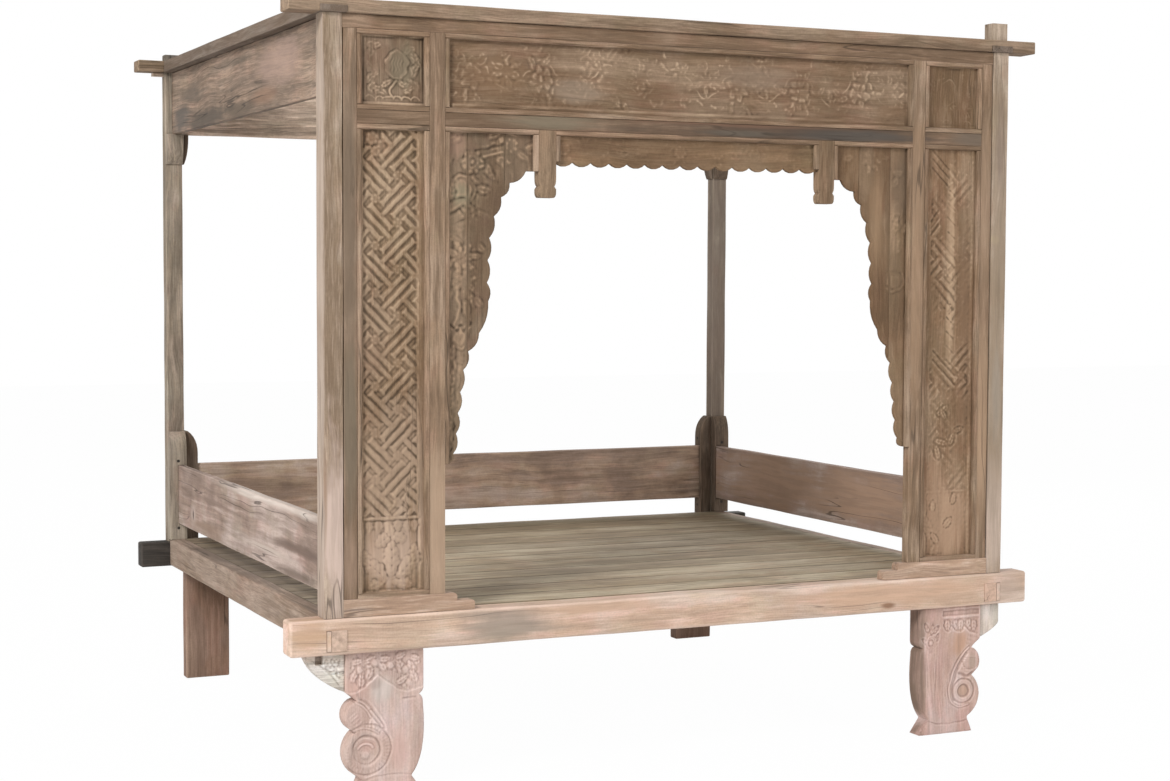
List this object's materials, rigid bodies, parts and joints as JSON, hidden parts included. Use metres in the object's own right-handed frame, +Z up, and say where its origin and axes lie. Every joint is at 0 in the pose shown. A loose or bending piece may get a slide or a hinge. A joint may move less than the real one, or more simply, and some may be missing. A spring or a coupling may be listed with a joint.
{
  "type": "canopy bed",
  "caption": "Carved wooden canopy bed with a plank deck, corner posts, guard boards, top rails and a framed, carved screen with a scalloped arch across the front.",
  "frame": {"origin": "on the floor, in the middle of the bed's overall length and depth", "axes": "+X to the right seen from the front, -Y towards the front with the carved screen, +Z up"},
  "size_m": [2.412, 1.887, 2.216],
  "materials": {
    "beam_wood": "weathered, unvarnished, with worn edges",
    "dark_wood": "weathered, unvarnished, with worn edges",
    "deck_wood": "weathered, unvarnished, with worn edges",
    "leg_wood": "weathered, unvarnished, with worn edges",
    "bracket_wood": "weathered, unvarnished, with worn edges",
    "rear_leg_wood": "weathered, unvarnished, with worn edges",
    "post_wood": "weathered, unvarnished, with worn edges",
    "rear_post_wood": "weathered, unvarnished, with worn edges",
    "rail_wood": "weathered, unvarnished, with worn edges",
    "board_wood": "weathered, unvarnished, with worn edges",
    "guard_wood": "weathered, unvarnished, with worn edges",
    "frame_wood": "weathered, unvarnished, with worn edges",
    "panel_wood": "weathered, unvarnished, with worn edges",
    "arch_wood": "weathered, unvarnished, with worn edges",
    "bead_wood": "weathered, unvarnished, with worn edges",
    "peg_wood": "weathered, unvarnished, with worn edges"
  },
  "bodies": {
    "root": {"front_beam": "beam_wood", "rear_beam": "dark_wood", "left_side_beam": "beam_wood", "right_side_beam": "beam_wood", "tenon_wedges": "peg_wood", "deck_planks": "deck_wood", "deck_bearers": "deck_wood", "left_front_leg": "leg_wood", "right_front_leg": "leg_wood", "left_rear_leg": "rear_leg_wood", "right_rear_leg": "rear_leg_wood", "left_ear_bracket": "bracket_wood", "right_ear_bracket": "bracket_wood", "left_front_post": "post_wood", "right_front_post": "post_wood", "left_rear_post": "rear_post_wood", "right_rear_post": "rear_post_wood", "front_top_rail": "rail_wood", "rear_top_rail": "rail_wood", "left_top_rail": "rail_wood", "right_top_rail": "rail_wood", "left_canopy_board": "board_wood", "right_canopy_board": "board_wood", "rear_canopy_board": "board_wood", "left_side_corbel": "rear_post_wood", "right_side_corbel": "rear_post_wood", "left_back_corbel": "rear_post_wood", "right_back_corbel": "rear_post_wood", "left_guard_board": "guard_wood", "right_guard_board": "guard_wood", "back_guard_board": "guard_wood", "left_side_cleat": "rear_post_wood", "right_side_cleat": "rear_post_wood", "left_back_cleat": "rear_post_wood", "right_back_cleat": "rear_post_wood", "cleat_pegs": "peg_wood", "screen_head_rail": "frame_wood", "screen_middle_rail": "frame_wood", "left_middle_rail": "frame_wood", "right_middle_rail": "frame_wood", "left_outer_stile": "frame_wood", "right_outer_stile": "frame_wood", "left_inner_stile": "frame_wood", "right_inner_stile": "frame_wood", "left_sill": "frame_wood", "right_sill": "frame_wood", "left_small_panel": "panel_wood", "right_small_panel": "panel_wood", "frieze_panel": "panel_wood", "left_long_panel": "panel_wood", "right_long_panel": "panel_wood", "left_spandrel": "arch_wood", "right_spandrel": "arch_wood", "left_pendant": "arch_wood", "right_pendant": "arch_wood", "valance": "arch_wood", "panel_beads": "bead_wood", "arch_beads": "bead_wood"}
  },
  "joints": []
}
